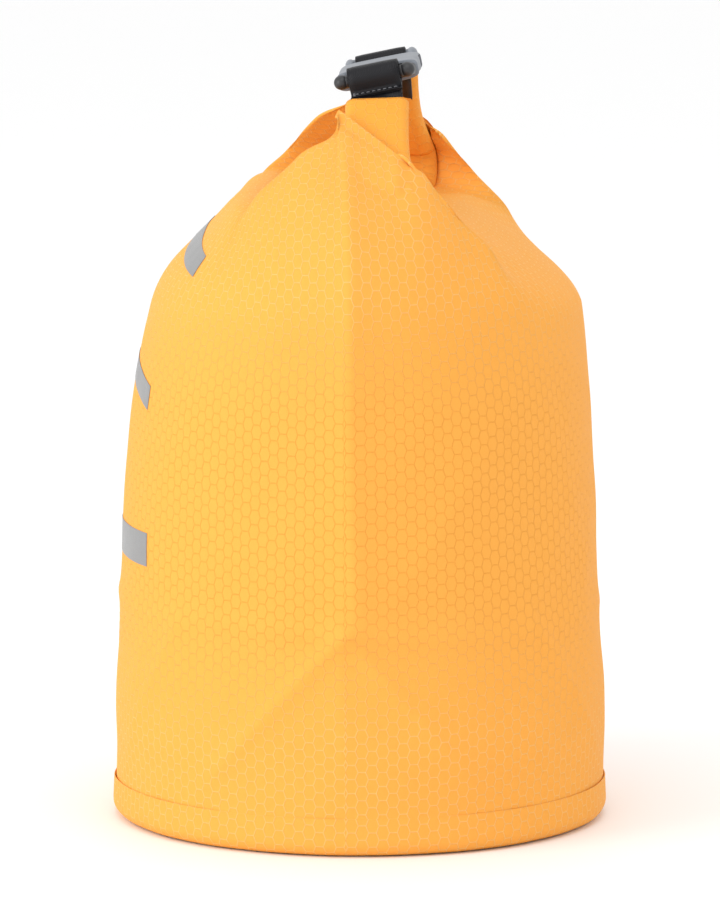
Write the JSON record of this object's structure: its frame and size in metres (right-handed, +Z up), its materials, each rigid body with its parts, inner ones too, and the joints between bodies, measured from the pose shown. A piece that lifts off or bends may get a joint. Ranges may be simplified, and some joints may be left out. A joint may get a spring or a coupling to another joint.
{
  "type": "roll-top dry bag",
  "caption": "Standing roll-top dry bag of coated ripstop cloth, its mouth rolled up and clipped into a carrying loop with a side-release clip.",
  "frame": {"origin": "centre of the base, on the floor", "axes": "+Z up, front of the bag towards -Y, the roll and the clip's pull along X, near end of the roll at +X"},
  "size_m": [0.2268, 0.2062, 0.3202],
  "materials": {
    "ripstop_cloth": "orange-yellow coated nylon with a hexagonal ripstop grid, soft satin",
    "seam_tape": "translucent bonded tape, satin",
    "silver_print": "silver-grey screen print, satin",
    "black_strip": "black coated strip, fine weave, satin",
    "thread": "dark polyester thread",
    "clip_black": "black moulded plastic, fine grain",
    "clip_grey": "grey moulded plastic, fine grain"
  },
  "bodies": {
    "bag": {"body_tube": "ripstop_cloth", "base_disc": "ripstop_cloth", "base_tape": "seam_tape", "seam_tape": "seam_tape", "front_print": "silver_print", "front_yoke": "ripstop_cloth", "back_yoke": "ripstop_cloth", "near_gusset": "ripstop_cloth", "far_gusset": "ripstop_cloth", "roll_middle": "ripstop_cloth", "near_fold": "ripstop_cloth", "far_fold": "ripstop_cloth", "mouth_strip": "black_strip"},
    "near_arm": {"near_roll": "ripstop_cloth", "near_strap": "black_strip", "near_stitches": "thread", "near_bartack": "thread"},
    "far_arm": {"far_roll": "ripstop_cloth", "far_strap": "black_strip", "far_stitches": "thread", "far_bartack": "thread"},
    "male_half": {"clip_frame": "clip_black"},
    "front_prong": {"prong_front": "clip_black"},
    "back_prong": {"prong_back": "clip_black"},
    "female_half": {"clip_shell": "clip_grey"}
  },
  "joints": [
    {"name": "near_arm_swing", "type": "hinge", "parent": "bag", "child": "near_arm", "pos_m": [0.068, 0.0088, 0.2635], "axis": [0, 1, 0], "range_deg": [0, 60], "deforming": ["near_fold", "near_gusset", "prong_front", "prong_back"]},
    {"name": "far_arm_swing", "type": "hinge", "parent": "bag", "child": "far_arm", "pos_m": [-0.068, 0.0088, 0.2635], "axis": [0, -1, 0], "range_deg": [0, 60], "deforming": ["far_fold", "far_gusset"]},
    {"name": "male_half_pivot", "type": "hinge", "parent": "near_arm", "child": "male_half", "pos_m": [0.028, 0.00748, 0.31266], "axis": [0, 0.9781, 0.2079], "range_deg": [-60, 0]},
    {"name": "female_half_pivot", "type": "hinge", "parent": "far_arm", "child": "female_half", "pos_m": [-0.028, 0.00748, 0.31266], "axis": [0, -0.9781, -0.2079], "range_deg": [-60, 0]},
    {"name": "front_prong_squeeze", "type": "hinge", "parent": "male_half", "child": "front_prong", "pos_m": [0.0105, -0.00227, 0.30854], "axis": [0, 0.2079, -0.9781], "range_deg": [0, 7], "stiffness_Nm_per_rad": 0.4},
    {"name": "back_prong_squeeze", "type": "hinge", "parent": "male_half", "child": "back_prong", "pos_m": [0.0105, 0.01807, 0.31286], "axis": [0, -0.2079, 0.9781], "range_deg": [0, 7], "stiffness_Nm_per_rad": 0.4}
  ],
  "couplings": [
    {"joint": "far_arm_swing", "follows": "near_arm_swing", "ratio": 1},
    {"joint": "male_half_pivot", "follows": "near_arm_swing", "ratio": -1},
    {"joint": "female_half_pivot", "follows": "near_arm_swing", "ratio": -1},
    {"joint": "back_prong_squeeze", "follows": "front_prong_squeeze", "ratio": 1}
  ]
}
